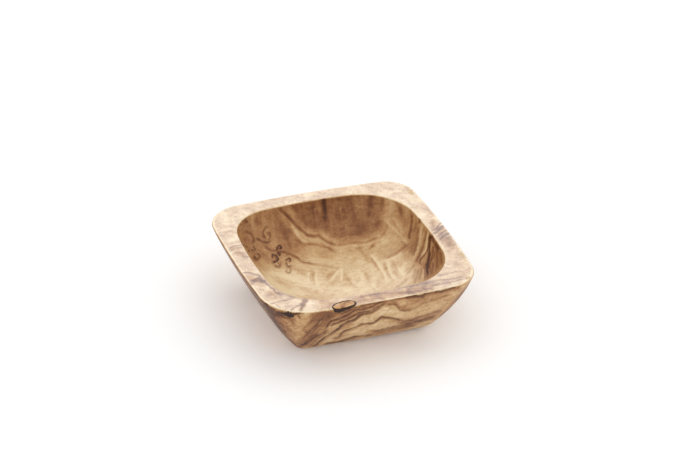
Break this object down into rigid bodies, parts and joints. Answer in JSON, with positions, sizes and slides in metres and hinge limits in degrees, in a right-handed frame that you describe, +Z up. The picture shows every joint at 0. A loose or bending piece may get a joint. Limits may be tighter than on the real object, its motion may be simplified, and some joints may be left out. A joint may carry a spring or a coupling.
{
  "type": "square wooden bowl",
  "caption": "Small square bowl carved from one block of olive wood, with a flat rim, rounded corners, sloping sides and a smooth hollow for serving nuts, dips or salt.",
  "frame": {"origin": "middle of the flat face that the bowl stands on", "axes": "+Z up through the opening, -Y to the front side with the knot in its rim, +X to the right seen from the front"},
  "size_m": [0.12, 0.12, 0.038],
  "materials": {
    "olive_wood": "olive wood, carved, sanded and oiled to a satin finish",
    "knot_wood": "end grain of a small branch, sanded and oiled",
    "bark": "ingrown bark, dark and matt",
    "wood_filler": "pale wood filler, sanded flush"
  },
  "bodies": {
    "root": {"bowl_body": "olive_wood", "rim_knot": "knot_wood", "knot_bark_sleeve": "bark", "bark_pocket": "bark", "rim_filler_back_right": "wood_filler", "rim_filler_right": "wood_filler", "rim_filler_front_right": "wood_filler"}
  },
  "joints": []
}
